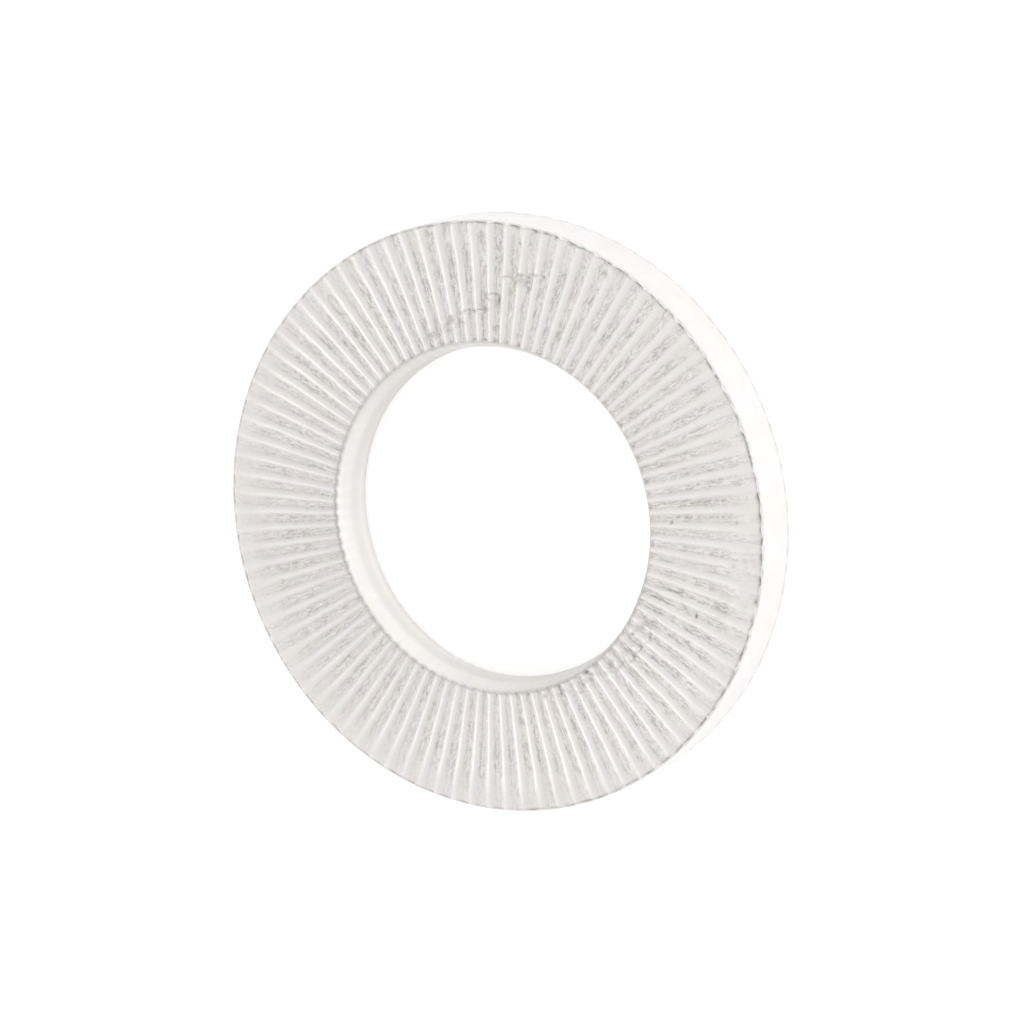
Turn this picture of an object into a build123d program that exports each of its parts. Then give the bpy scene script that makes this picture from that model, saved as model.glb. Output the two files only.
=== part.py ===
import os

from build123d import *

# Ribbed lock washer for a 16 mm bolt: one flat steel ring with fine radial ribs on both faces.
# The origin is the centre of the lower face, and +Z is the axis of the hole.

# Ring, in millimetres. The thickness is measured over the tops of the ribs.
outer_diameter = 30.0
bore_diameter = 17.0
thickness = 3.0

# Lip of the hole, cut back at both faces.
lip_width = 0.4
lip_depth = 0.3

# Ribs. Halfway up its sides a groove takes this share of the pitch from rib to rib.
rib_count = 92
rib_height = 0.12
groove_share = 0.56
side_width = 0.12

# The block that a groove is cut from runs out past both edges of the ring and above its face.
groove_run_out = 0.3
groove_overshoot = 0.06
groove_block_width = 1.5

outer_radius = outer_diameter / 2
bore_radius = bore_diameter / 2
groove_floor_z = thickness - rib_height
groove_half_angle = groove_share * 180 / rib_count
block_length = outer_radius - bore_radius + 2 * groove_run_out
block_height = rib_height + groove_overshoot
middle_radius = (outer_radius + bore_radius) / 2


def groove_side(hand):
    """Plane of one side of the groove along +X: hand is 1 for the side towards +Y, -1 for the other.

    Halfway up, both sides run along lines that meet on the axis, and they lean away from each other.
    """
    along = Vector(1, 0, 0).rotate(Axis.Z, hand * groove_half_angle)
    across = Vector(0, hand, 0).rotate(Axis.Z, hand * groove_half_angle)
    outward = across * rib_height - Vector(0, 0, side_width)
    return Plane(origin=(0, 0, thickness - rib_height / 2), x_dir=along, z_dir=outward)


# One groove of the upper face, along +X: it widens outward, with a level floor and leaning sides.
with BuildPart() as upper_groove:
    with Locations((middle_radius, 0, groove_floor_z)):
        Box(
            block_length,
            groove_block_width,
            block_height,
            align=(Align.CENTER, Align.CENTER, Align.MIN),
        )
    split(bisect_by=groove_side(1), keep=Keep.BOTTOM)
    split(bisect_by=groove_side(-1), keep=Keep.BOTTOM)

# The same groove in the lower face.
with BuildPart() as lower_groove:
    mirror(upper_groove.part, about=Plane.XY.offset(thickness / 2))

# The plain ring with its lips, turned about the axis, and then the grooves that leave the ribs.
with BuildPart() as lock_washer:
    with BuildSketch(Plane.XZ):
        with BuildLine():
            Polyline(
                (bore_radius + lip_width, 0),
                (outer_radius, 0),
                (outer_radius, thickness),
                (bore_radius + lip_width, thickness),
                (bore_radius, thickness - lip_depth),
                (bore_radius, lip_depth),
                close=True,
            )
        make_face()
    revolve(axis=Axis.Z)
    with PolarLocations(0, rib_count):
        add(upper_groove.part, mode=Mode.SUBTRACT)
        add(lower_groove.part, mode=Mode.SUBTRACT)

lock_washer.part.label = "lock_washer"
os.makedirs("parts", exist_ok=True)
export_step(lock_washer.part, "parts/lock_washer.step")
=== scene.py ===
import math
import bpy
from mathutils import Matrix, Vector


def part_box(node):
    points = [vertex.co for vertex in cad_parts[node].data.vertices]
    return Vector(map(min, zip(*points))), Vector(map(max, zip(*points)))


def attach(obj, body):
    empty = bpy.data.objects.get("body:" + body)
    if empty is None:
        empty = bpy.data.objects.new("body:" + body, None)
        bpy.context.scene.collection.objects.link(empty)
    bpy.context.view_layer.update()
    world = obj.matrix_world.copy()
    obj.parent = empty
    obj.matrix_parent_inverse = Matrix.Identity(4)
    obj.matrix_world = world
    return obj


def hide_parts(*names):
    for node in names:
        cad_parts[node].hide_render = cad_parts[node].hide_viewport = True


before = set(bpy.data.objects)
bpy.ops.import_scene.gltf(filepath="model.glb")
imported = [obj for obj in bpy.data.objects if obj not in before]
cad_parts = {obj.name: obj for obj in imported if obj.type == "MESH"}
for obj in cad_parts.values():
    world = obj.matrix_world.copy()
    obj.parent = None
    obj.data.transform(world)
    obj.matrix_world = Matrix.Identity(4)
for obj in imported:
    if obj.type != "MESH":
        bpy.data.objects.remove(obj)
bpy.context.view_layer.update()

from types import SimpleNamespace

import bpy
import numpy as np
from mathutils import Matrix, Vector, noise

# Ribbed lock washer, flat on its lower face. Lengths are in millimetres, and angles round the ring
# in degrees from +X, until a mesh, a lamp or the camera is made. What changes round the ring is
# given as {angle: value}, and runs evenly from one angle to the next.
MM = 0.001

# Ring. Its outside and its thickness are the frame's.
node_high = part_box("lock_washer")[1]
OUTER_RADIUS = node_high[0] / MM
THICKNESS = node_high[2] / MM
WALL_RADIUS = 8.56

# Ribs. A groove's share of the pitch is taken halfway down its sides. The crown is how far the
# shoulders of a rib lie below its middle.
RIB_COUNT = 92
RIB_HEIGHT = 0.12
GROOVE_SHARE = 0.54
SIDE_WIDTH = 0.18
CROWN = 0.024
PITCH_ANGLE = 2 * math.pi / RIB_COUNT

# The sides of the ribs stray in slow waves and in quicker, weaker ones: length, share, seed.
EDGE_WANDER = 0.022
EDGE_WAVES = ((0.8, 1.0, 7.7), (0.28, 0.7, 57.7))
RIB_SEED_STEP = 5.31
SIDE_SEED_STEP = 11.3

# Noise over the surface: the size of its features, and a seed.
ROUGH_NOISE = (0.45, 3.1)
FINE_NOISE = (0.17, 9.7)
FOOT_SHADE_NOISE = (0.6, 21.3)
CREASE_NOISE = (0.45, 33.3)
CREASE_GRIME_AND_SHADE_NOISE = (0.28, 41.7)
BLOTCH_NOISE = (0.40, 61.3)
SMALL_BLOTCH_NOISE = (0.16, 71.9)

# Rows of vertices over the face, between the lip of the hole and the crease inside the rim. They are
# closest together where the face is nicked.
FACE_START = 9.03
NICKED_START = 9.90
NICKED_END = 12.85
FACE_END = 14.77
START_ROWS = 8
NICKED_ROWS = 35
END_ROWS = 17

# Columns of vertices round one pitch: a rib's middle, steps down its side, the groove, and up again.
SIDE_STEPS = (0.06, 0.30, 0.62, 0.94)
GROOVE_STEP = 0.45
FIRST_FOOT = len(SIDE_STEPS)
GROOVE_MIDDLE = FIRST_FOOT + 2
SECOND_FOOT = FIRST_FOOT + 4
COLUMNS_PER_RIB = 2 * FIRST_FOOT + 4
ALL_COLUMNS = list(range(COLUMNS_PER_RIB))
# The lower face, the rim and the wall of the hole take only these of them.
COARSE_COLUMNS = [0, 1, FIRST_FOOT, GROOVE_MIDDLE, SECOND_FOOT, COLUMNS_PER_RIB - 1]


def smoothstep(t):
    """Smooth step from 0, where t is 0 or less, to 1, where it is 1 or more."""
    t = np.clip(t, 0.0, 1.0)
    return t * t * (3.0 - 2.0 * t)


def band(value, middle, half_width):
    """Soft band: 1 in its middle, and about a third at its half-width."""
    return np.exp(-(((value - middle) / half_width) ** 2))


def round_ring(angle, values):
    """Value at this angle of what is given at some angles round the ring."""
    return np.interp(angle, list(values), list(values.values()), period=360)


def polar(points):
    """Radius and angle of these points round the axis of the hole."""
    radius = np.hypot(points[..., 0], points[..., 1])
    angle = np.degrees(np.arctan2(points[..., 1], points[..., 0])) % 360
    return radius, angle


def noise_at(points, size, seed):
    """Smooth noise from about -1 to 1, with features of this size."""
    flat = points.reshape(-1, 3) / size + seed
    values = np.array([noise.noise(Vector(point)) for point in flat])
    return values.reshape(points.shape[:-1])


def wander(radius, side):
    """How far this side of every rib strays at this radius. side is 0 or 1."""
    strays = np.zeros(RIB_COUNT)
    for rib in range(RIB_COUNT):
        for length, share, seed in EDGE_WAVES:
            place = (radius / length, RIB_SEED_STEP * rib, seed + SIDE_SEED_STEP * side)
            strays[rib] += share * noise.noise(Vector(place))
    return EDGE_WANDER * strays


def column_angles(radius):
    """Angles, in radians, of all the columns at this radius: one row for each rib."""
    half_pitch = radius * PITCH_ANGLE / 2
    half_top = (1 - GROOVE_SHARE) * half_pitch - SIDE_WIDTH / 2
    steps = SIDE_WIDTH * np.array(SIDE_STEPS)
    near = (half_top + wander(radius, 0))[:, None]
    far = (2 * half_pitch - half_top - np.roll(wander(radius, 1), -1))[:, None]
    near_foot, far_foot = near + SIDE_WIDTH, far - SIDE_WIDTH
    offsets = np.hstack(
        (
            np.zeros_like(near),
            near + steps,
            near_foot + GROOVE_STEP * (half_pitch - near_foot),
            np.full_like(near, half_pitch),
            far_foot + GROOVE_STEP * (half_pitch - far_foot),
            far - steps[::-1],
        )
    )
    middles = (np.arange(RIB_COUNT) + 0.5) * PITCH_ANGLE
    return middles[:, None] + offsets / radius


# Section of the ring

# First outward over the upper face, with every column: (radius, height).
LIP = [
    (WALL_RADIUS, 2.20),
    (8.60, 2.32),
    (8.645, 2.45),
    (8.69, 2.58),
    (8.74, 2.69),
    (8.80, 2.79),
    (8.87, 2.88),
    (8.95, 2.975),
]
face_radii = np.concatenate(
    (
        np.linspace(FACE_START, NICKED_START, START_ROWS, endpoint=False),
        np.linspace(NICKED_START, NICKED_END, NICKED_ROWS, endpoint=False),
        np.linspace(NICKED_END, FACE_END, END_ROWS),
    )
)
FACE = [(radius, THICKNESS) for radius in face_radii]
EDGE = [
    (OUTER_RADIUS - 0.187, THICKNESS),
    (OUTER_RADIUS - 0.15, THICKNESS),
    (OUTER_RADIUS - 0.115, THICKNESS),
    (OUTER_RADIUS - 0.085, THICKNESS),
    (OUTER_RADIUS - 0.055, THICKNESS),
    (OUTER_RADIUS - 0.028, THICKNESS - 0.006),
    (OUTER_RADIUS - 0.008, THICKNESS - 0.030),
    (OUTER_RADIUS, THICKNESS - 0.075),
    (OUTER_RADIUS, THICKNESS - 0.16),
]
upper_section = np.array(LIP + FACE + EDGE)

# Then down the rim, inward under the lower face and up the wall of the hole, whose foot is a little
# narrower, with the coarse columns. The last value says where the ribs of the lower face reach.
RIM = [(OUTER_RADIUS, height, 0) for height in (2.70, 2.20, 1.50, 0.80, 0.25)]
LOWER_FACE = [
    (OUTER_RADIUS, 0.09, 1),
    (OUTER_RADIUS - 0.03, 0.03, 1),
    (OUTER_RADIUS - 0.09, 0.0, 1),
    (13.0, 0.0, 1),
    (11.0, 0.0, 1),
    (8.95, 0.0, 1),
    (8.90, 0.03, 1),
]
LOWER_LIP = [
    (8.82, 0.13, 0),
    (8.73, 0.26, 0),
    (8.64, 0.40, 0),
    (8.55, 0.54, 0),
]
WALL = [
    (8.50, 0.68, 0),
    (8.50, 0.84, 0),
    (8.52, 0.98, 0),
    (8.545, 1.12, 0),
    (8.555, 1.28, 0),
    (8.555, 1.75, 0),
]
lower_section = np.array(RIM + LOWER_FACE + LOWER_LIP + WALL)


def ring_points(section, columns):
    """Points of these rows of the section, with these columns of each pitch: rows, columns, xyz."""
    rows = []
    for radius, height in section[:, :2]:
        angles = column_angles(radius)[:, columns].ravel()
        heights = np.full_like(angles, height)
        rows.append(np.stack((radius * np.cos(angles), radius * np.sin(angles), heights), -1))
    return np.array(rows)


upper = ring_points(upper_section, ALL_COLUMNS)
lower = ring_points(lower_section, COARSE_COLUMNS)

# The wall of the hole isn't quite round: its foot stands back on one side, and its lip on another.
FOOT_SET_BACK = {192: 0.0, 212: 0.11, 232: 0.15, 255: 0.10, 285: 0.0}
LIP_SET_BACK = {292: 0.0, 309: 0.11, 319: 0.08, 331: 0.0}
# Heights that each of them lies between, and how far it takes to fade in and out.
FOOT_HEIGHTS = (-1.0, 0.5)
LIP_HEIGHTS = (1.0, 3.0)
FADE_AT_LOW = 0.3
FADE_AT_HIGH = 0.6
FADE_OUTWARD = 0.40


def set_back(points, amounts, low, high):
    """Move the wall outward by these amounts where its height is above low and below high."""
    radius, angle = polar(points)
    height = points[..., 2]
    share = 1 - smoothstep((radius - WALL_RADIUS) / FADE_OUTWARD)
    share *= smoothstep((height - low) / FADE_AT_LOW) * (1 - smoothstep((height - high) / FADE_AT_HIGH))
    points[..., :2] *= (1 + round_ring(angle, amounts) * share / radius)[..., None]


set_back(lower, FOOT_SET_BACK, *FOOT_HEIGHTS)
set_back(lower, LIP_SET_BACK, *LIP_HEIGHTS)
set_back(upper, LIP_SET_BACK, *LIP_HEIGHTS)

# Nicks: angle, radius, depth, half-lengths along and across the rib, turn, dirt

# In the line that crosses the ribs at the top of the photo, from right to left.
UPPER_NICKS = [
    (72.8, 12.74, 0.09, 0.055, 0.30, 10, 0.25),
    (76.3, 12.53, 0.09, 0.060, 0.28, 0, 0.30),
    (80.0, 12.31, 0.08, 0.055, 0.26, 0, 0.25),
    (83.5, 11.36, 0.09, 0.050, 0.26, 0, 0.35),
    (87.3, 10.52, 0.10, 0.055, 0.24, 0, 0.35),
    (91.4, 10.50, 0.10, 0.060, 0.26, 8, 0.30),
    (96.2, 10.20, 0.12, 0.110, 0.26, -15, 0.20),
    (103.8, 9.69, 0.10, 0.070, 0.26, 15, 0.30),
]
# In the line at the lower right of the photo, and near it.
LOWER_NICKS = [
    (337.0, 11.27, 0.06, 0.120, 0.20, 40, 0.15),
    (336.1, 11.96, 0.10, 0.080, 0.15, 15, 0.80),
    (329.4, 10.20, 0.06, 0.140, 0.22, 30, 0.20),
    (324.3, 10.21, 0.10, 0.060, 0.30, 10, 0.30),
    (319.6, 10.13, 0.10, 0.055, 0.28, 10, 0.30),
    (315.9, 10.13, 0.10, 0.055, 0.28, 10, 0.30),
    (311.3, 9.91, 0.10, 0.055, 0.28, 10, 0.30),
    (300.4, 9.03, 0.10, 0.080, 0.13, 0, 0.75),
    (295.6, 9.76, 0.06, 0.070, 0.18, 0, 0.30),
    (283.7, 9.26, 0.08, 0.080, 0.20, 0, 0.35),
    (321.3, 9.20, 0.06, 0.120, 0.26, 20, 0.20),
    (324.0, 9.45, 0.06, 0.120, 0.22, -20, 0.20),
]
# Dark spots beside the upper line.
UPPER_SPOTS = [
    (78.5, 11.51, 0.05, 0.16, 0.08, 0, 0.55),
    (81.8, 11.09, 0.05, 0.22, 0.08, 0, 0.55),
    (86.0, 10.57, 0.05, 0.18, 0.08, 0, 0.60),
    (73.9, 11.95, 0.04, 0.14, 0.08, 0, 0.45),
    (70.8, 12.74, 0.05, 0.09, 0.09, 0, 0.60),
    (74.6, 12.48, 0.05, 0.08, 0.08, 0, 0.55),
    (89.4, 10.46, 0.05, 0.08, 0.09, 0, 0.60),
]
# Chips near the rim.
CHIPS = [
    (116.9, 14.67, 0.06, 0.14, 0.14, 0, 0.35),
    (57.9, 14.33, 0.07, 0.14, 0.18, 20, 0.40),
    (56.3, 14.77, 0.06, 0.12, 0.14, 0, 0.35),
]
# Dents at the right of the photo.
DENTS = [
    (359.2, 13.58, 0.05, 0.10, 0.10, 0, 0.35),
    (7.5, 13.98, 0.05, 0.10, 0.10, 0, 0.35),
    (349.9, 13.48, 0.04, 0.20, 0.10, 0, 0.35),
    (342.6, 14.35, 0.04, 0.18, 0.10, 15, 0.35),
]
# Long, shallow dark lines at the lower right, along the feet of the ribs.
LONG_DARK_LINES = [
    (339.7, 10.30, 0.02, 1.00, 0.07, 6, 0.50),
    (336.1, 9.75, 0.02, 0.50, 0.07, 4, 0.55),
    (332.1, 9.90, 0.02, 0.70, 0.07, 3, 0.55),
]
# Shallow dark spots and streaks elsewhere.
SHALLOW_SPOTS = [
    (75.1, 12.14, 0.05, 0.22, 0.08, -20, 0.60),
    (77.4, 14.06, 0.03, 0.09, 0.07, 0, 0.50),
    (81.9, 13.21, 0.03, 0.12, 0.08, 0, 0.50),
    (85.9, 13.87, 0.03, 0.08, 0.08, 0, 0.50),
    (90.0, 13.20, 0.03, 0.40, 0.09, 0, 0.40),
    (93.9, 12.93, 0.03, 0.35, 0.10, 0, 0.45),
    (358.9, 10.06, 0.05, 0.09, 0.09, 0, 0.60),
    (191.0, 13.50, 0.03, 0.09, 0.09, 0, 0.35),
    (194.4, 12.88, 0.03, 0.09, 0.09, 0, 0.35),
]
# Rows of short dark dashes along two grooves: angle, first and last radius.
DASH_ROWS = [(0.4, 10.5, 13.3), (4.0, 10.6, 13.2)]
DASH_SPACING = 0.34
DASH_SHIFT = 0.08
DASH_SIZE = (0.03, 0.11, 0.065)
DASH_DIRT = 0.48
DASH_DIRT_SPREAD = 0.18


def dash_nicks():
    """The dashes of all the rows, unevenly spaced and unevenly dark."""
    rng = np.random.default_rng(3)
    nicks = []
    for angle, first, last in DASH_ROWS:
        for radius in np.arange(first, last, DASH_SPACING):
            shift, strength = rng.uniform(-1.0, 1.0, 2)
            dirt = DASH_DIRT + DASH_DIRT_SPREAD * strength
            nicks.append((angle, radius + DASH_SHIFT * shift, *DASH_SIZE, 0, dirt))
    return nicks


CROSSING_NICKS = UPPER_NICKS + LOWER_NICKS
OTHER_NICKS = UPPER_SPOTS + CHIPS + DENTS + LONG_DARK_LINES + SHALLOW_SPOTS + dash_nicks()


def beside(angle, radius):
    """Distances of all the upper points from this place: along the rib there, and across it."""
    there = math.radians(angle)
    along = upper[..., 0] * math.cos(there) + upper[..., 1] * math.sin(there) - radius
    across = upper[..., 1] * math.cos(there) - upper[..., 0] * math.sin(there)
    return along, across


def patch(angle, radius, along, across, turn=0.0):
    """A soft spot from 1 in its middle to 0, of these half-lengths, turned from the rib it lies on."""
    u, v = beside(angle, radius)
    tilt = math.radians(turn)
    u, v = u * math.cos(tilt) + v * math.sin(tilt), v * math.cos(tilt) - u * math.sin(tilt)
    return np.exp(-((u / along) ** 2) - (v / across) ** 2)


# The rows slide towards the nicks that cut across a rib by this share of their distance, less the
# further away they are.
SLIDE = 0.5
SLIDE_ALONG = 0.30
SLIDE_ACROSS = 0.60


def slide_rows():
    """Slide the rows towards each nick that cuts across a rib, so that they can draw its sides."""
    for angle, radius, *_ in CROSSING_NICKS:
        along = beside(angle, radius)[0]
        slide = SLIDE * patch(angle, radius, SLIDE_ALONG, SLIDE_ACROSS)
        slide[upper[..., 2] < THICKNESS] = 0.0
        upper[..., :2] *= (1 - slide * along / polar(upper)[0])[..., None]


slide_rows()
upper_radius, upper_angle = polar(upper)
level = np.stack((upper[..., 0], upper[..., 1], np.zeros_like(upper[..., 0])), -1)
rough = noise_at(level, *ROUGH_NOISE)
fine = noise_at(level, *FINE_NOISE)

# Relief of the upper face

# How deep each column lies, as a share of the ribs' height, and how far the crown takes it down.
side_drop = smoothstep(np.array(SIDE_STEPS))
pitch_drop = np.concatenate(([0.0], side_drop, [1.0, 1.0, 1.0], side_drop[::-1]))
pitch_crown = CROWN * (1 - pitch_drop)
pitch_crown[0] = 0.0
drop = np.tile(pitch_drop, RIB_COUNT)[None, :]
crown = np.tile(pitch_crown, RIB_COUNT)[None, :]
lower_drop = np.tile(pitch_drop[COARSE_COLUMNS], RIB_COUNT)

# Share of their depth that the grooves lose towards the rim, and then in a narrow edge round it.
RUN_OUT = {0: 0.60, 45: 0.38, 95: 0.40, 145: 0.72, 190: 0.75, 235: 0.72, 275: 0.68, 320: 0.60}
RUN_OUT_START = 12.4
RUN_OUT_LENGTH = 2.2
EDGE_LOSS = 0.80
EDGE_WIDTH = 0.12
EDGE_FADE = 0.08
# Where the ribs are worn down or smeared over: angle, radius, half-lengths along and across, share lost.
WORN = [
    (350.5, 14.2, 0.9, 0.9, 0.75),
    (345.5, 14.3, 0.7, 0.9, 0.65),
    (358.0, 14.6, 0.6, 0.9, 0.60),
    (5.0, 14.6, 0.5, 1.6, 0.45),
    (14.0, 14.6, 0.4, 1.4, 0.35),
    (322.5, 9.30, 0.35, 0.45, 0.60),
    (292.0, 9.15, 0.25, 0.35, 0.55),
]
# Height of the unevenness in the grooves and on the ribs.
GROOVE_TEXTURE = 0.010
RIB_TEXTURE = 0.004


def groove_relief():
    """Share of their full depth that the grooves have at every point."""
    run_out = round_ring(upper_angle, RUN_OUT)
    relief = 1 - run_out * smoothstep((upper_radius - RUN_OUT_START) / RUN_OUT_LENGTH)
    relief *= 1 - EDGE_LOSS * smoothstep((upper_radius - (OUTER_RADIUS - EDGE_WIDTH)) / EDGE_FADE)
    for angle, radius, along, across, share in WORN:
        relief = relief * (1 - share * patch(angle, radius, along, across))
    return relief


relief = groove_relief()
groove = drop * relief
surface = THICKNESS - RIB_HEIGHT * groove - crown
groove_texture = GROOVE_TEXTURE * rough + GROOVE_TEXTURE * fine
surface += groove * groove_texture - (1 - groove) * RIB_TEXTURE * (1 + fine)

# Crease just inside the rim, where the ribs stop. It strays inward, and is roughest on the right.
CREASE_ROUGHNESS = {0: 1.7, 45: 1.3, 95: 1.0, 150: 0.7, 200: 0.6, 260: 0.7, 320: 1.4}
CREASE_INSET = 0.095
CREASE_STRAY = 0.045
CREASE_WIDTH = 0.020
CREASE_WIDENING = 0.023
CREASE_DEPTH = 0.018
CREASE_GROOVE_DEPTH = 0.012
CREASE_DEPTHS = (0.006, 0.10)
roughness = round_ring(upper_angle, CREASE_ROUGHNESS)
strays = np.clip(0.3 + noise_at(level, *CREASE_NOISE), -0.2, 1.2)
crease_radius = OUTER_RADIUS - CREASE_INSET - CREASE_STRAY * roughness * strays
crease = band(upper_radius, crease_radius, CREASE_WIDTH + CREASE_WIDENING * roughness)
crease_depth = (CREASE_DEPTH + CREASE_GROOVE_DEPTH * drop) * roughness * (1 + 0.8 * rough)
surface = surface - crease * np.clip(crease_depth, *CREASE_DEPTHS)

# Grime and painted shade in the crease.
CREASE_GRIME_AND_SHADE = {0: 0.50, 45: 0.50, 95: 0.35, 150: 0.20, 190: 0.30, 235: 0.25, 275: 0.25, 320: 0.40}
MOST_CREASE_GRIME_AND_SHADE = 0.85
crease_grime_and_shade = round_ring(upper_angle, CREASE_GRIME_AND_SHADE)
crease_grime_and_shade = crease_grime_and_shade * (0.8 + 0.3 * drop + 2.2 * noise_at(level, *CREASE_GRIME_AND_SHADE_NOISE))
grime_and_shade = crease * np.clip(crease_grime_and_shade, 0.0, MOST_CREASE_GRIME_AND_SHADE)

# Painted shade at the feet of the ribs, most of it on the side away from the light.
LIGHT_AZIMUTH = 200.0
PAINTED_FOOT_SHADE = 0.03
PAINTED_FOOT_SHADE_AWAY = 0.05
foot_shade_patches = np.clip(1 + 1.6 * noise_at(level, *FOOT_SHADE_NOISE), 0.0, 2.0)
for column, turn in ((FIRST_FOOT, 90.0), (SECOND_FOOT, -90.0)):
    feet = np.zeros(upper.shape[1])
    feet[column::COLUMNS_PER_RIB] = 1.0
    away = np.clip(-np.cos(np.radians(upper_angle + turn - LIGHT_AZIMUTH)), 0.0, 1.0)
    painted_foot_shade = feet * groove * (PAINTED_FOOT_SHADE + PAINTED_FOOT_SHADE_AWAY * away) * foot_shade_patches
    grime_and_shade = np.maximum(grime_and_shade, painted_foot_shade)

# Dirt lies unevenly in the nicks.
nick_patches = np.clip(0.95 + 1.3 * fine, 0.35, 1.3)


def press(angle, radius, depth, along, across, turn, dirt):
    """Press a soft-edged nick into the upper face, and leave some dirt in it."""
    spot = patch(angle, radius, along, across, turn)
    surface[:] -= depth * spot
    np.maximum(grime_and_shade, dirt * nick_patches * np.minimum(1.0, 1.3 * spot**1.5), out=grime_and_shade)


for nick in CROSSING_NICKS + OTHER_NICKS:
    press(*nick)

# Scuffed, dirty places between the nicks: angle, radius, half-lengths along and across, depth, dirt.
SCUFFS = [
    (327.5, 9.75, 0.45, 0.55, 0.08, 0.45),
    (322.0, 9.45, 0.35, 0.50, 0.09, 0.45),
    (317.0, 9.75, 0.35, 0.80, 0.08, 0.35),
    (309.0, 9.50, 0.30, 0.70, 0.07, 0.30),
    (299.5, 9.35, 0.30, 0.80, 0.08, 0.35),
    (291.0, 9.30, 0.30, 0.70, 0.07, 0.30),
    (76.5, 12.35, 0.32, 0.75, 0.05, 0.40),
    (84.5, 10.95, 0.45, 0.65, 0.05, 0.35),
    (97.0, 9.90, 0.38, 0.95, 0.06, 0.30),
    (104.5, 9.50, 0.30, 0.60, 0.06, 0.30),
    (340.5, 13.20, 0.45, 0.70, 0.05, 0.25),
    (351.0, 14.30, 0.50, 0.70, 0.03, 0.20),
]
scuff_patches = np.clip(0.40 + 1.5 * fine + 0.8 * rough, 0.0, 1.0)
for angle, radius, along, across, depth, dirt in SCUFFS:
    scuff = patch(angle, radius, along, across) * scuff_patches
    surface -= depth * scuff
    grime_and_shade = np.maximum(grime_and_shade, dirt * scuff)

# Pits at the ends of the grooves: the number of each groove, counted from +X, and how strong it is.
# The other grooves end in slight ones.
OUTER_PITS = {
    0: 0.6, 1: 0.7, 2: 0.5, 3: 0.7, 4: 0.6, 17: 0.6, 18: 0.6, 19: 0.7, 20: 0.4,
    44: 0.4, 45: 0.4, 47: 0.4, 87: 0.6, 88: 0.8, 89: 1.0, 90: 0.6, 91: 0.7,
}
INNER_PITS = {
    2: 0.6, 3: 0.9, 4: 0.4, 5: 0.9, 6: 0.6, 8: 0.5, 19: 0.6, 20: 0.5, 21: 0.6, 22: 0.8,
    23: 1.0, 25: 0.6, 26: 0.6, 27: 0.6, 53: 0.5, 54: 0.7, 55: 0.8, 56: 0.6, 58: 0.7, 59: 0.8,
    60: 0.5, 61: 1.0, 62: 0.5, 63: 0.5, 69: 0.6, 70: 0.7, 71: 0.9, 72: 0.6, 73: 0.6, 74: 0.7,
}
MOST_SLIGHT_PIT = 0.35
PIT_LENGTH = 0.07
OUTER_PIT_INSET = 0.13
OUTER_PIT_SHIFT = 0.07
OUTER_PIT_DEPTH = 0.07
OUTER_PIT_WIDTH = 0.06
OUTER_PIT_WIDENING = 0.10
OUTER_PIT_DIRT = 0.9
INNER_PIT_RADIUS = FACE_START + 0.02
INNER_PIT_DEPTH = 0.05
INNER_PIT_WIDTH = 0.09
INNER_PIT_DIRT = 0.7


def press_pits():
    """Press both pits of every groove."""
    rng = np.random.default_rng(7)
    for number in range(RIB_COUNT):
        angle = math.degrees(number * PITCH_ANGLE)
        slight_outer, slight_inner = MOST_SLIGHT_PIT * rng.random(2)
        shift_angle, shift_radius = rng.uniform(-0.5, 0.5, 2)
        outer = OUTER_PITS.get(number, slight_outer)
        radius = OUTER_RADIUS - OUTER_PIT_INSET + OUTER_PIT_SHIFT * shift_radius
        depth = OUTER_PIT_DEPTH * outer
        width = OUTER_PIT_WIDTH + OUTER_PIT_WIDENING * outer
        press(angle + shift_angle, radius, depth, PIT_LENGTH, width, 0, OUTER_PIT_DIRT * outer)
        inner = INNER_PITS.get(number, slight_inner)
        depth = INNER_PIT_DEPTH * inner
        press(angle, INNER_PIT_RADIUS, depth, PIT_LENGTH, INNER_PIT_WIDTH, 0, INNER_PIT_DIRT * inner)


press_pits()

upper[..., 2] = np.minimum(upper[..., 2], surface)
ribbed_below = lower_section[:, 2:] > 0
lower_relief = np.maximum(lower[..., 2], RIB_HEIGHT * lower_drop)
lower[..., 2] = np.where(ribbed_below, lower_relief, lower[..., 2])

# One closed mesh: the upper rows, and then the lower ones

UPPER_COLUMNS = upper.shape[1]
LOWER_COLUMNS = lower.shape[1]
LOWER_BASE = upper.shape[0] * UPPER_COLUMNS


def strip_faces(base, columns, rows):
    """Quads between neighbouring rows that have the same columns."""
    faces = []
    for row in range(rows - 1):
        start, after = base + row * columns, base + (row + 1) * columns
        for column in range(columns):
            following = (column + 1) % columns
            faces.append((start + column, after + column, after + following, start + following))
    return faces


def join_faces(fine_start, coarse_start, coarse_is_after):
    """Polygons between a row with all columns and a row with the coarse ones."""
    faces = []
    bounds = COARSE_COLUMNS + [COLUMNS_PER_RIB]
    for column in range(LOWER_COLUMNS):
        rib, step = divmod(column, len(COARSE_COLUMNS))
        first = rib * COLUMNS_PER_RIB + bounds[step]
        last = rib * COLUMNS_PER_RIB + bounds[step + 1]
        fine_side = [fine_start + index % UPPER_COLUMNS for index in range(first, last + 1)]
        coarse_side = [coarse_start + column, coarse_start + (column + 1) % LOWER_COLUMNS]
        polygon = fine_side[::-1] + coarse_side if coarse_is_after else fine_side + coarse_side[::-1]
        faces.append(tuple(polygon))
    return faces


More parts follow.
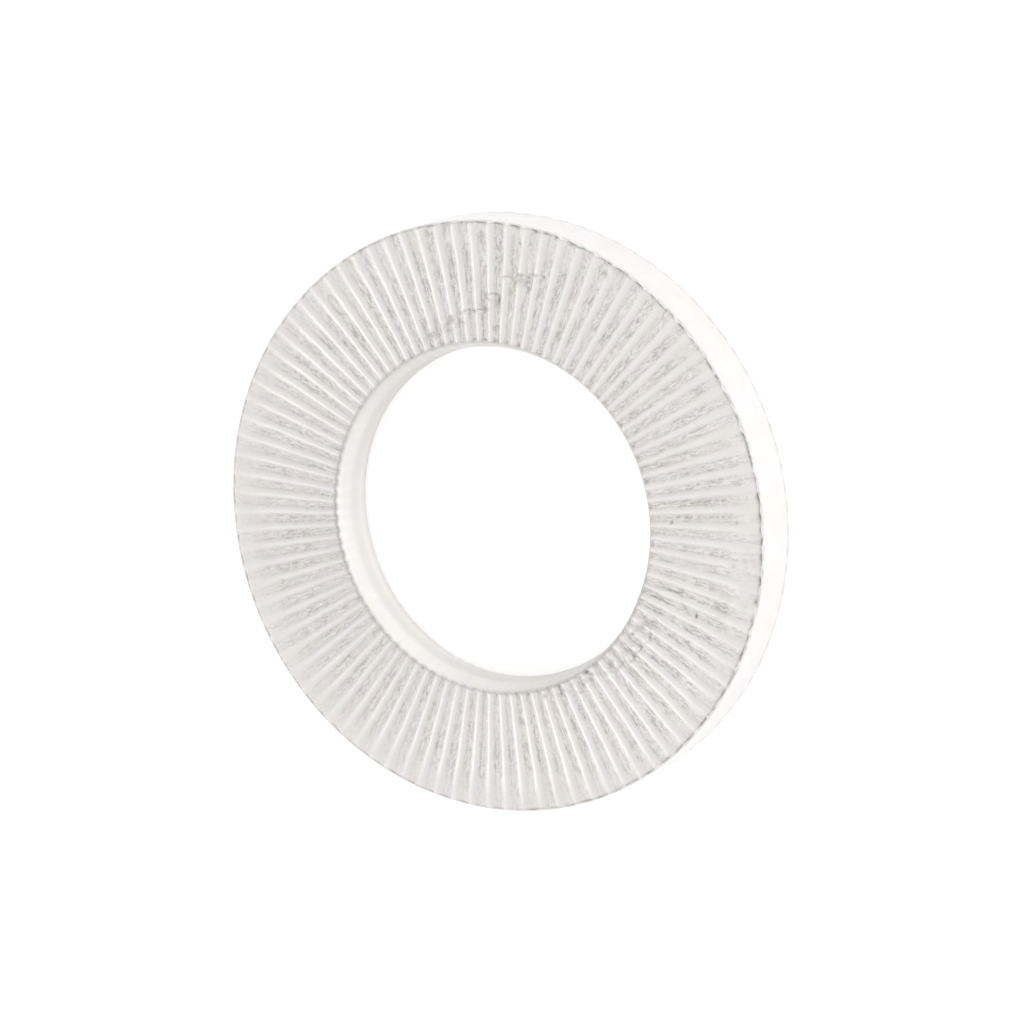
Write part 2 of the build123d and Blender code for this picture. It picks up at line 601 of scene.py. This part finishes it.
faces = strip_faces(0, UPPER_COLUMNS, len(upper))
faces += join_faces(LOWER_BASE - UPPER_COLUMNS, LOWER_BASE, True)
faces += strip_faces(LOWER_BASE, LOWER_COLUMNS, len(lower))
faces += join_faces(0, LOWER_BASE + (len(lower) - 1) * LOWER_COLUMNS, False)
vertices = np.vstack((upper.reshape(-1, 3), lower.reshape(-1, 3))) * MM

mesh = bpy.data.meshes.new("ribbed_washer")
mesh.from_pydata(vertices.tolist(), [], faces)
mesh.polygons.foreach_set("use_smooth", np.ones(len(mesh.polygons), dtype=bool))
mesh.update()
washer = bpy.data.objects.new("ribbed_washer", mesh)
bpy.context.collection.objects.link(washer)


def set_attribute(name, upper_values, lower_values):
    """Give every point of the mesh a value that the material reads by this name."""
    upper_part = np.broadcast_to(upper_values, upper.shape[:2]).ravel()
    lower_part = np.broadcast_to(lower_values, lower.shape[:2]).ravel()
    values = np.concatenate((upper_part, lower_part)).astype(np.float32)
    mesh.attributes.new(name, "FLOAT", "POINT").data.foreach_set("value", values)


# Brightness painted into the colour, which it is multiplied by: painted light and shade in the hole and at
# the face's inner edge, and other changes of brightness.

# Painted light and shade on the lip and the wall of the hole, round the ring.
LIP_SHADES = {
    0: 0.77, 35: 0.81, 75: 0.86, 125: 0.90, 150: 0.965, 180: 0.96, 205: 1.03,
    225: 1.035, 250: 1.00, 268: 0.95, 292: 0.82, 301: 0.80, 309: 0.66, 325: 0.58,
}
WALL_SHADES = {
    0: 0.80, 100: 0.805, 122: 0.805, 147: 0.825, 172: 0.895, 200: 0.91,
    220: 0.905, 240: 0.89, 255: 0.85, 270: 0.84, 292: 0.755, 330: 0.75,
}
HOLE_END = 8.84
HOLE_FADE = 0.08
WALL_TOP = 2.10
WALL_FADE = 0.12
# Where the wall is bright it has a painted highlight band above its foot, and there is a thin painted
# shade line below.
BAND_HEIGHT = 1.08
BAND_HALF_WIDTH = 0.18
BAND_STRENGTH = 0.8
BAND_THRESHOLD = 0.79
BAND_MOST = 0.1
LINE_HEIGHT = 0.60
LINE_HALF_WIDTH = 0.07
LINE_STRENGTH = 0.10

# The face's brightness round the ring, a painted shade line round its inner edge, and how much darker its
# outer part is.
FACE_SHADES = {0: 1.02, 50: 1.02, 97: 1.005, 142: 0.99, 188: 0.96, 232: 0.985, 277: 1.01, 315: 1.035}
INNER_LINE = {0: 0.18, 90: 0.16, 150: 0.24, 180: 0.34, 215: 0.26, 250: 0.18, 292: 0.30, 330: 0.22}
OUTER_SHADE = {0: 0.035, 45: 0.02, 95: 0.04, 145: 0.06, 190: 0.045, 235: 0.055, 275: 0.06, 320: 0.055}
INNER_LINE_RADIUS = 8.93
INNER_LINE_HALF_WIDTH = 0.08
OUTER_SHADE_START = 12.4
OUTER_SHADE_LENGTH = 2.0
FACE_LOW = 2.8
FACE_FADE = 0.1

# The top of the rim is darker and blotchy.
RIM_TOP = {0: 0.20, 30: 0.17, 60: 0.13, 95: 0.08, 150: 0.06, 240: 0.06, 300: 0.06, 330: 0.16}
RIM_TOP_HALF_WIDTH = 0.13
RIM_WIDTH = 0.06
RIM_FADE = 0.04


def hole_shades(angle, height):
    """Painted light and shade on the lip and the wall of the hole."""
    wall = round_ring(angle, WALL_SHADES)
    extra = BAND_STRENGTH * np.clip(wall - BAND_THRESHOLD, 0.0, BAND_MOST)
    wall = wall + extra * band(height, BAND_HEIGHT, BAND_HALF_WIDTH)
    wall = wall - LINE_STRENGTH * band(height, LINE_HEIGHT, LINE_HALF_WIDTH)
    on_wall = 1 - smoothstep((height - WALL_TOP) / WALL_FADE)
    return round_ring(angle, LIP_SHADES) * (1 - on_wall) + wall * on_wall


def rim_shades(points, angle, height):
    """Shading of the rim."""
    blotches = noise_at(points, *BLOTCH_NOISE) + 0.6 * noise_at(points, *SMALL_BLOTCH_NOISE)
    top = round_ring(angle, RIM_TOP) * (1 + 1.5 * blotches)
    return 1 - top * band(height, THICKNESS, RIM_TOP_HALF_WIDTH)


def face_shades(radius, angle):
    """Brightness of the upper face, less a painted shade line round its inner edge."""
    inner_line = round_ring(angle, INNER_LINE) * band(radius, INNER_LINE_RADIUS, INNER_LINE_HALF_WIDTH)
    outward = smoothstep((radius - OUTER_SHADE_START) / OUTER_SHADE_LENGTH)
    return round_ring(angle, FACE_SHADES) - inner_line - round_ring(angle, OUTER_SHADE) * outward


def shades(points):
    """Painted brightness of these points, wherever they lie, with painted light and shade among it."""
    radius, angle = polar(points)
    height = points[..., 2]
    in_hole = 1 - smoothstep((radius - HOLE_END) / HOLE_FADE)
    on_rim = smoothstep((radius - (OUTER_RADIUS - RIM_WIDTH)) / RIM_FADE)
    on_face = smoothstep((height - FACE_LOW) / FACE_FADE) * (1 - on_rim)
    shade = 1 + in_hole * (hole_shades(angle, height) - 1)
    shade = shade + on_rim * (rim_shades(points, angle, height) - 1)
    return shade + on_face * (face_shades(radius, angle) - 1)


set_attribute("shade", shades(upper), shades(lower))

# How dark and streaky the grooves are round the ring. Towards the rim they grow cleaner.
STAINS = {0: 0.75, 50: 0.90, 97: 1.0, 140: 0.80, 190: 0.70, 235: 0.70, 280: 0.75, 315: 1.0}
CLEAN_END = {0: 0.05, 45: 0.0, 95: 0.05, 145: 0.35, 190: 0.40, 235: 0.30, 275: 0.25, 320: 0.10}
CLEAN_START = 12.0
CLEAN_LENGTH = 2.2
LOWER_STAIN = 0.8
clean_end = round_ring(upper_angle, CLEAN_END) * smoothstep((upper_radius - CLEAN_START) / CLEAN_LENGTH)
stain = round_ring(upper_angle, STAINS) * (1 - clean_end)
set_attribute("stain", drop * np.sqrt(relief) * stain, LOWER_STAIN * lower_drop[None, :] * ribbed_below)

# How much a point belongs to a ribbed face and to the floor of a groove, and how much dirt and painted
# shade darken it.
RIBBED_START = 8.85
RIBBED_FADE = 0.06
RIM_MARGIN = 0.05
GRIME_AND_SHADE_FADE = 0.10
face_share = smoothstep((upper_radius - RIBBED_START) / RIBBED_FADE)
face_share = face_share * smoothstep((OUTER_RADIUS - RIM_MARGIN - upper_radius) / RIM_MARGIN)
set_attribute("ribbed", face_share, ribbed_below.astype(float))
set_attribute("groove", groove, lower_drop[None, :] * ribbed_below)
set_attribute("grime_and_shade", grime_and_shade * smoothstep((upper_radius - RIBBED_START) / GRIME_AND_SHADE_FADE), 0.0)


class Nodes:
    """Short ways to add and link shader nodes."""

    def __init__(self, tree):
        self.tree = tree

    def add(self, kind, inputs=(), **settings):
        """Node with these settings, and with a value or a link for each of these inputs."""
        node = self.tree.nodes.new(kind)
        for key, value in settings.items():
            setattr(node, key, value)
        for key, value in dict(inputs).items():
            if isinstance(value, bpy.types.NodeSocket):
                self.tree.links.new(value, node.inputs[key])
            else:
                node.inputs[key].default_value = value
        return node

    def math(self, operation, a, b=0.0):
        return self.add("ShaderNodeMath", {0: a, 1: b}, operation=operation).outputs[0]

    def times(self, a, b):
        return self.math("MULTIPLY", a, b)

    def plus(self, a, b):
        return self.math("ADD", a, b)

    def scaled(self, vector, scale):
        return self.add("ShaderNodeVectorMath", {0: vector, "Scale": scale}, operation="SCALE").outputs[0]

    def ramp(self, value, low, high, to_low=0.0, to_high=1.0):
        """Smooth step from to_low, where the value is low, to to_high, where it is high."""
        inputs = {"Value": value, "From Min": low, "From Max": high, "To Min": to_low, "To Max": to_high}
        return self.add("ShaderNodeMapRange", inputs, interpolation_type="SMOOTHSTEP").outputs["Result"]

    def mix(self, factor, a, b, blend="MIX"):
        node = self.add("ShaderNodeMix", {0: factor, 6: a, 7: b}, data_type="RGBA", blend_type=blend)
        return node.outputs[2]

    def noise(self, vector, scale, detail=2.0, roughness=0.6):
        inputs = {"Vector": vector, "Scale": scale, "Detail": detail, "Roughness": roughness}
        return self.add("ShaderNodeTexNoise", inputs).outputs["Fac"]

    def attribute(self, name):
        return self.add("ShaderNodeAttribute", attribute_name=name).outputs["Fac"]


def new_material(name):
    """Material of this name, and what adds nodes to it."""
    material = bpy.data.materials.new(name)
    material.use_nodes = True
    material.node_tree.nodes.clear()
    return material, Nodes(material.node_tree)


# Pale zinc

RIB_COLOR = (0.828, 0.801, 0.785, 1.0)
GROOVE_COLOR = (0.752, 0.724, 0.708, 1.0)
BRIGHT_COLOR = (0.93, 0.91, 0.895, 1.0)
DARK_COLOR = (0.36, 0.34, 0.325, 1.0)
# Dark colour for dirt in the nicks, scuffs and pits, and for painted shade at the feet of the ribs and in
# the crease.
DIRT_AND_SHADE_COLOR = (0.20, 0.185, 0.165, 1.0)
SMOOTH_COLOR = (0.90, 0.885, 0.875, 1.0)
CREAM_COLOR = (0.90, 0.88, 0.857, 1.0)
CLOUD_TINTS = ((0.98, 0.98, 0.98, 1.0), (1.01, 1.01, 1.01, 1.0))
PINK_TINTS = ((1.008, 0.990, 1.0, 1.0), (0.998, 1.004, 0.992, 1.0))
CREAM_TINTS = ((1.0, 1.0, 0.98, 1.0), (1.0, 1.0, 1.015, 1.0))
METALLIC = 0.35

# Noise in the finish, as features per millimetre.
SCRATCH_SCALE = 11.0
DASH_SCALE = 5.6
AMOUNT_SCALE = 1.3
SPECKLE_SCALE = 7.0
GRAIN_SCALE = 14.0
CLOUD_SCALE = 0.7
PINK_SCALE = 1.2
CREAM_SCALE = 0.55
# How many times as long as wide the features are in what follows the ribs.
SCRATCH_STRETCH = 4.5
DASH_STRETCH = 3.5
AMOUNT_STRETCH = 1.8
# The most that each kind of mark covers the colour below it.
DARK_SCRATCH = 0.52
BRIGHT_SCRATCH = 0.60
DARK_DASH = 0.48
DARK_PIT = 0.5
DARK_SPECKLE = 0.06
DARK_GRAIN = 0.05

# Directions across the ribs are scaled to the middle of the face.
MIDDLE_RADIUS = 12.0
# The hole is creamier than the rim, and the colour changes between these radii.
CREAM_RADII = (9.0, 9.6)
# Roughness from grain to grain, and how much rougher the grooves are.
GRAIN_ROUGHNESS = (0.40, 0.50)
GROOVE_ROUGHNESS = 0.14
BUMP_STRENGTH = 0.6
BUMP_DISTANCE = 0.03


def zinc_textures(z):
    """The radius, and the noises of the finish. Scratches, dashes and their amount follow the ribs."""
    place = z.scaled(z.add("ShaderNodeTexCoord").outputs["Object"], 1 / MM)
    x, y, _ = z.add("ShaderNodeSeparateXYZ", {0: place}).outputs
    radius = z.math("SQRT", z.plus(z.times(x, x), z.times(y, y)))
    flat = z.add("ShaderNodeCombineXYZ", {0: x, 1: y}).outputs[0]
    direction = z.add("ShaderNodeVectorMath", {0: flat}, operation="NORMALIZE").outputs["Vector"]
    across = z.scaled(direction, MIDDLE_RADIUS)

    def along_ribs(stretch):
        """Coordinates in which features come out this many times as long as they are wide."""
        lift = z.add("ShaderNodeCombineXYZ", {2: z.times(radius, 1 / stretch)}).outputs[0]
        return z.add("ShaderNodeVectorMath", {0: across, 1: lift}, operation="ADD").outputs[0]

    return SimpleNamespace(
        radius=radius,
        scratches=z.noise(along_ribs(SCRATCH_STRETCH), SCRATCH_SCALE, detail=3.0),
        dashes=z.noise(along_ribs(DASH_STRETCH), DASH_SCALE),
        amount=z.noise(along_ribs(AMOUNT_STRETCH), AMOUNT_SCALE),
        speckle=z.noise(place, SPECKLE_SCALE),
        grain=z.noise(place, GRAIN_SCALE, roughness=0.7),
        cloud=z.noise(place, CLOUD_SCALE),
        pink=z.noise(place, PINK_SCALE, detail=1.0),
        cream=z.noise(across, CREAM_SCALE, detail=1.0),
    )


def face_color(z, textures, in_groove):
    """Colour of the ribs, and of the grooves, which are streaky and pitted in patches."""
    stained = z.attribute("stain")
    patchy = z.times(stained, z.ramp(textures.amount, 0.35, 0.62, 0.32, 1.1))
    dark_scratch = z.times(patchy, z.ramp(textures.scratches, 0.50, 0.59, 0.0, DARK_SCRATCH))
    bright_scratch = z.times(stained, z.ramp(textures.scratches, 0.45, 0.36, 0.0, BRIGHT_SCRATCH))
    dark_dash = z.times(patchy, z.ramp(textures.dashes, 0.57, 0.67, 0.0, DARK_DASH))
    pits = z.times(z.ramp(textures.speckle, 0.54, 0.64), z.ramp(textures.grain, 0.46, 0.60, 0.0, DARK_PIT))
    dark_pit = z.times(patchy, pits)
    color = z.mix(in_groove, RIB_COLOR, GROOVE_COLOR)
    color = z.mix(bright_scratch, color, BRIGHT_COLOR)
    for share in (dark_scratch, dark_dash, dark_pit):
        color = z.mix(share, color, DARK_COLOR)
    return z.mix(z.ramp(textures.speckle, 0.30, 0.70, 0.0, DARK_SPECKLE), color, DARK_COLOR)


def smooth_color(z, textures):
    """Colour of the rim, and of the creamier hole."""
    color = z.mix(z.ramp(textures.radius, *CREAM_RADII), CREAM_COLOR, SMOOTH_COLOR)
    return z.mix(z.ramp(textures.grain, 0.35, 0.75, 0.0, DARK_GRAIN), color, DARK_COLOR)


def shaded(z, textures, color):
    """This colour multiplied by its painted brightness, which holds painted light and shade, and with
    faint clouds of grey, pink and cream.
    """
    shade = z.attribute("shade")
    shade_color = z.add("ShaderNodeCombineColor", {0: shade, 1: shade, 2: shade}).outputs[0]
    color = z.mix(1.0, color, shade_color, "MULTIPLY")
    for clouds, low, high, tints in (
        (textures.cloud, 0.30, 0.70, CLOUD_TINTS),
        (textures.pink, 0.38, 0.62, PINK_TINTS),
        (textures.cream, 0.38, 0.62, CREAM_TINTS),
    ):
        color = z.mix(1.0, color, z.mix(z.ramp(clouds, low, high), *tints), "MULTIPLY")
    return color


def surface_bump(z, textures, in_groove):
    """Fine scratches and grain in the grooves, and a faint grain everywhere."""
    in_grooves = z.plus(z.times(textures.scratches, 0.8), z.times(textures.grain, 0.5))
    everywhere = z.plus(z.times(textures.speckle, 0.15), z.times(textures.grain, 0.1))
    height = z.plus(z.times(in_groove, in_grooves), everywhere)
    inputs = {"Strength": BUMP_STRENGTH, "Distance": BUMP_DISTANCE * MM, "Height": height}
    return z.add("ShaderNodeBump", inputs).outputs[0]


def pale_zinc():
    """Pale matt zinc: smooth on the rim and in the hole, grey and streaky in the grooves."""
    material, z = new_material("pale_zinc")
    textures = zinc_textures(z)
    in_groove = z.attribute("groove")
    color = z.mix(z.attribute("ribbed"), smooth_color(z, textures), face_color(z, textures, in_groove))
    # Darken towards that colour: dirt in the nicks, scuffs and pits, dirt and painted shade in the crease,
    # and painted shade at the feet of the ribs.
    dirt = z.times(z.attribute("grime_and_shade"), z.ramp(textures.grain, 0.25, 0.55, 0.6, 1.0))
    color = z.mix(dirt, color, DIRT_AND_SHADE_COLOR)
    grain_roughness = z.ramp(textures.grain, 0.3, 0.7, *GRAIN_ROUGHNESS)
    shader = z.add(
        "ShaderNodeBsdfPrincipled",
        {
            "Base Color": shaded(z, textures, color),
            "Roughness": z.plus(z.times(in_groove, GROOVE_ROUGHNESS), grain_roughness),
            "Normal": surface_bump(z, textures, in_groove),
            "Metallic": METALLIC,
        },
    )
    z.add("ShaderNodeOutputMaterial", {"Surface": shader.outputs[0]})
    return material


mesh.materials.append(pale_zinc())
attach(washer, "root")
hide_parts("lock_washer")

# Floor, in metres, which shows white and keeps a faint shadow.
FLOOR_HALF = 1.5
FLOOR_COLOR = (0.9, 0.9, 0.9, 1.0)
FLOOR_GLOW = 0.35
WHITE = (1.0, 1.0, 1.0, 1.0)


def white_paper():
    """White paper that glows a little where it is seen, also in metal and through glass."""
    material, p = new_material("white_paper")
    rays = p.add("ShaderNodeLightPath").outputs
    seen = p.math("MAXIMUM", rays["Is Camera Ray"], rays["Is Transmission Ray"])
    seen = p.math("MAXIMUM", seen, rays["Is Glossy Ray"])
    diffuse = p.add("ShaderNodeBsdfDiffuse", {"Color": FLOOR_COLOR})
    glow = p.add("ShaderNodeEmission", {"Color": WHITE, "Strength": p.times(seen, FLOOR_GLOW)})
    both = p.add("ShaderNodeAddShader", {0: diffuse.outputs[0], 1: glow.outputs[0]})
    p.add("ShaderNodeOutputMaterial", {"Surface": both.outputs[0]})
    return material


floor_mesh = bpy.data.meshes.new("floor")
corner_sides = ((-1, -1), (1, -1), (1, 1), (-1, 1))
floor_corners = [(x * FLOOR_HALF, y * FLOOR_HALF, 0.0) for x, y in corner_sides]
floor_mesh.from_pydata(floor_corners, [], [(0, 1, 2, 3)])
floor_mesh.materials.append(white_paper())
floor = bpy.data.objects.new("floor", floor_mesh)
bpy.context.collection.objects.link(floor)

# Soft white light from all round, with a little more from three sides: azimuth, elevation, distance
# and size in metres, power in watts.
WORLD_STRENGTH = 0.80
SOFTBOXES = {
    "left_softbox": (LIGHT_AZIMUTH, 30, 0.9, 0.5, 1.8),
    "right_softbox": (350, 18, 1.0, 0.6, 2.6),
    "far_softbox": (75, 25, 1.0, 0.6, 1.3),
}

world = bpy.data.worlds.new("studio")
bpy.context.scene.world = world
world.use_nodes = True
background = world.node_tree.nodes["Background"]
background.inputs["Color"].default_value = WHITE
background.inputs["Strength"].default_value = WORLD_STRENGTH


def softbox(name, azimuth, elevation, distance, size, power):
    """Square lamp that looks at the washer from this side."""
    lamp = bpy.data.lights.new(name, "AREA")
    lamp.shape = "SQUARE"
    lamp.size = size
    lamp.energy = power
    holder = bpy.data.objects.new(name, lamp)
    turn, rise = math.radians(azimuth), math.radians(elevation)
    holder.location = distance * Vector(
        (math.cos(rise) * math.cos(turn), math.cos(rise) * math.sin(turn), math.sin(rise))
    )
    holder.rotation_euler = (-holder.location).to_track_quat("-Z", "Y").to_euler()
    bpy.context.collection.objects.link(holder)


for name, setting in SOFTBOXES.items():
    softbox(name, *setting)

# Camera. The tilt is how far the upper face is turned from the line of sight, and the turn is towards
# which side of the picture. The middle of that face lies at this distance, and at this pixel.
FACE_TILT = math.radians(30.3)
FACE_TURN = math.radians(201.68)
CAMERA_DISTANCE = 225.0
FACE_CENTRE_PIXEL = (489.8, 518.9)
FOCAL_PIXELS = 4516.0
PICTURE_PIXELS = 1024
SENSOR = 36.0
NEAREST = 10.0

face_normal = Vector(
    (
        math.sin(FACE_TILT) * math.cos(FACE_TURN),
        math.sin(FACE_TILT) * math.sin(FACE_TURN),
        math.cos(FACE_TILT),
    )
)
face_x = Vector((0, 1, 0)).cross(face_normal).normalized()
face_y = face_normal.cross(face_x)
face_centre = Vector(
    (
        (FACE_CENTRE_PIXEL[0] - PICTURE_PIXELS / 2) / FOCAL_PIXELS * CAMERA_DISTANCE,
        -(FACE_CENTRE_PIXEL[1] - PICTURE_PIXELS / 2) / FOCAL_PIXELS * CAMERA_DISTANCE,
        -CAMERA_DISTANCE,
    )
)
to_washer = Matrix((face_x, face_y, face_normal))
camera_place = (to_washer @ -face_centre + Vector((0, 0, THICKNESS))) * MM
camera_data = bpy.data.cameras.new("camera")
camera_data.sensor_width = SENSOR
camera_data.lens = SENSOR * FOCAL_PIXELS / PICTURE_PIXELS
camera_data.clip_start = NEAREST * MM
camera = bpy.data.objects.new("camera", camera_data)
camera.matrix_world = Matrix.Translation(camera_place) @ to_washer.to_4x4()
bpy.context.collection.objects.link(camera)
bpy.context.scene.camera = camera
bpy.context.scene.view_settings.view_transform = "Standard"
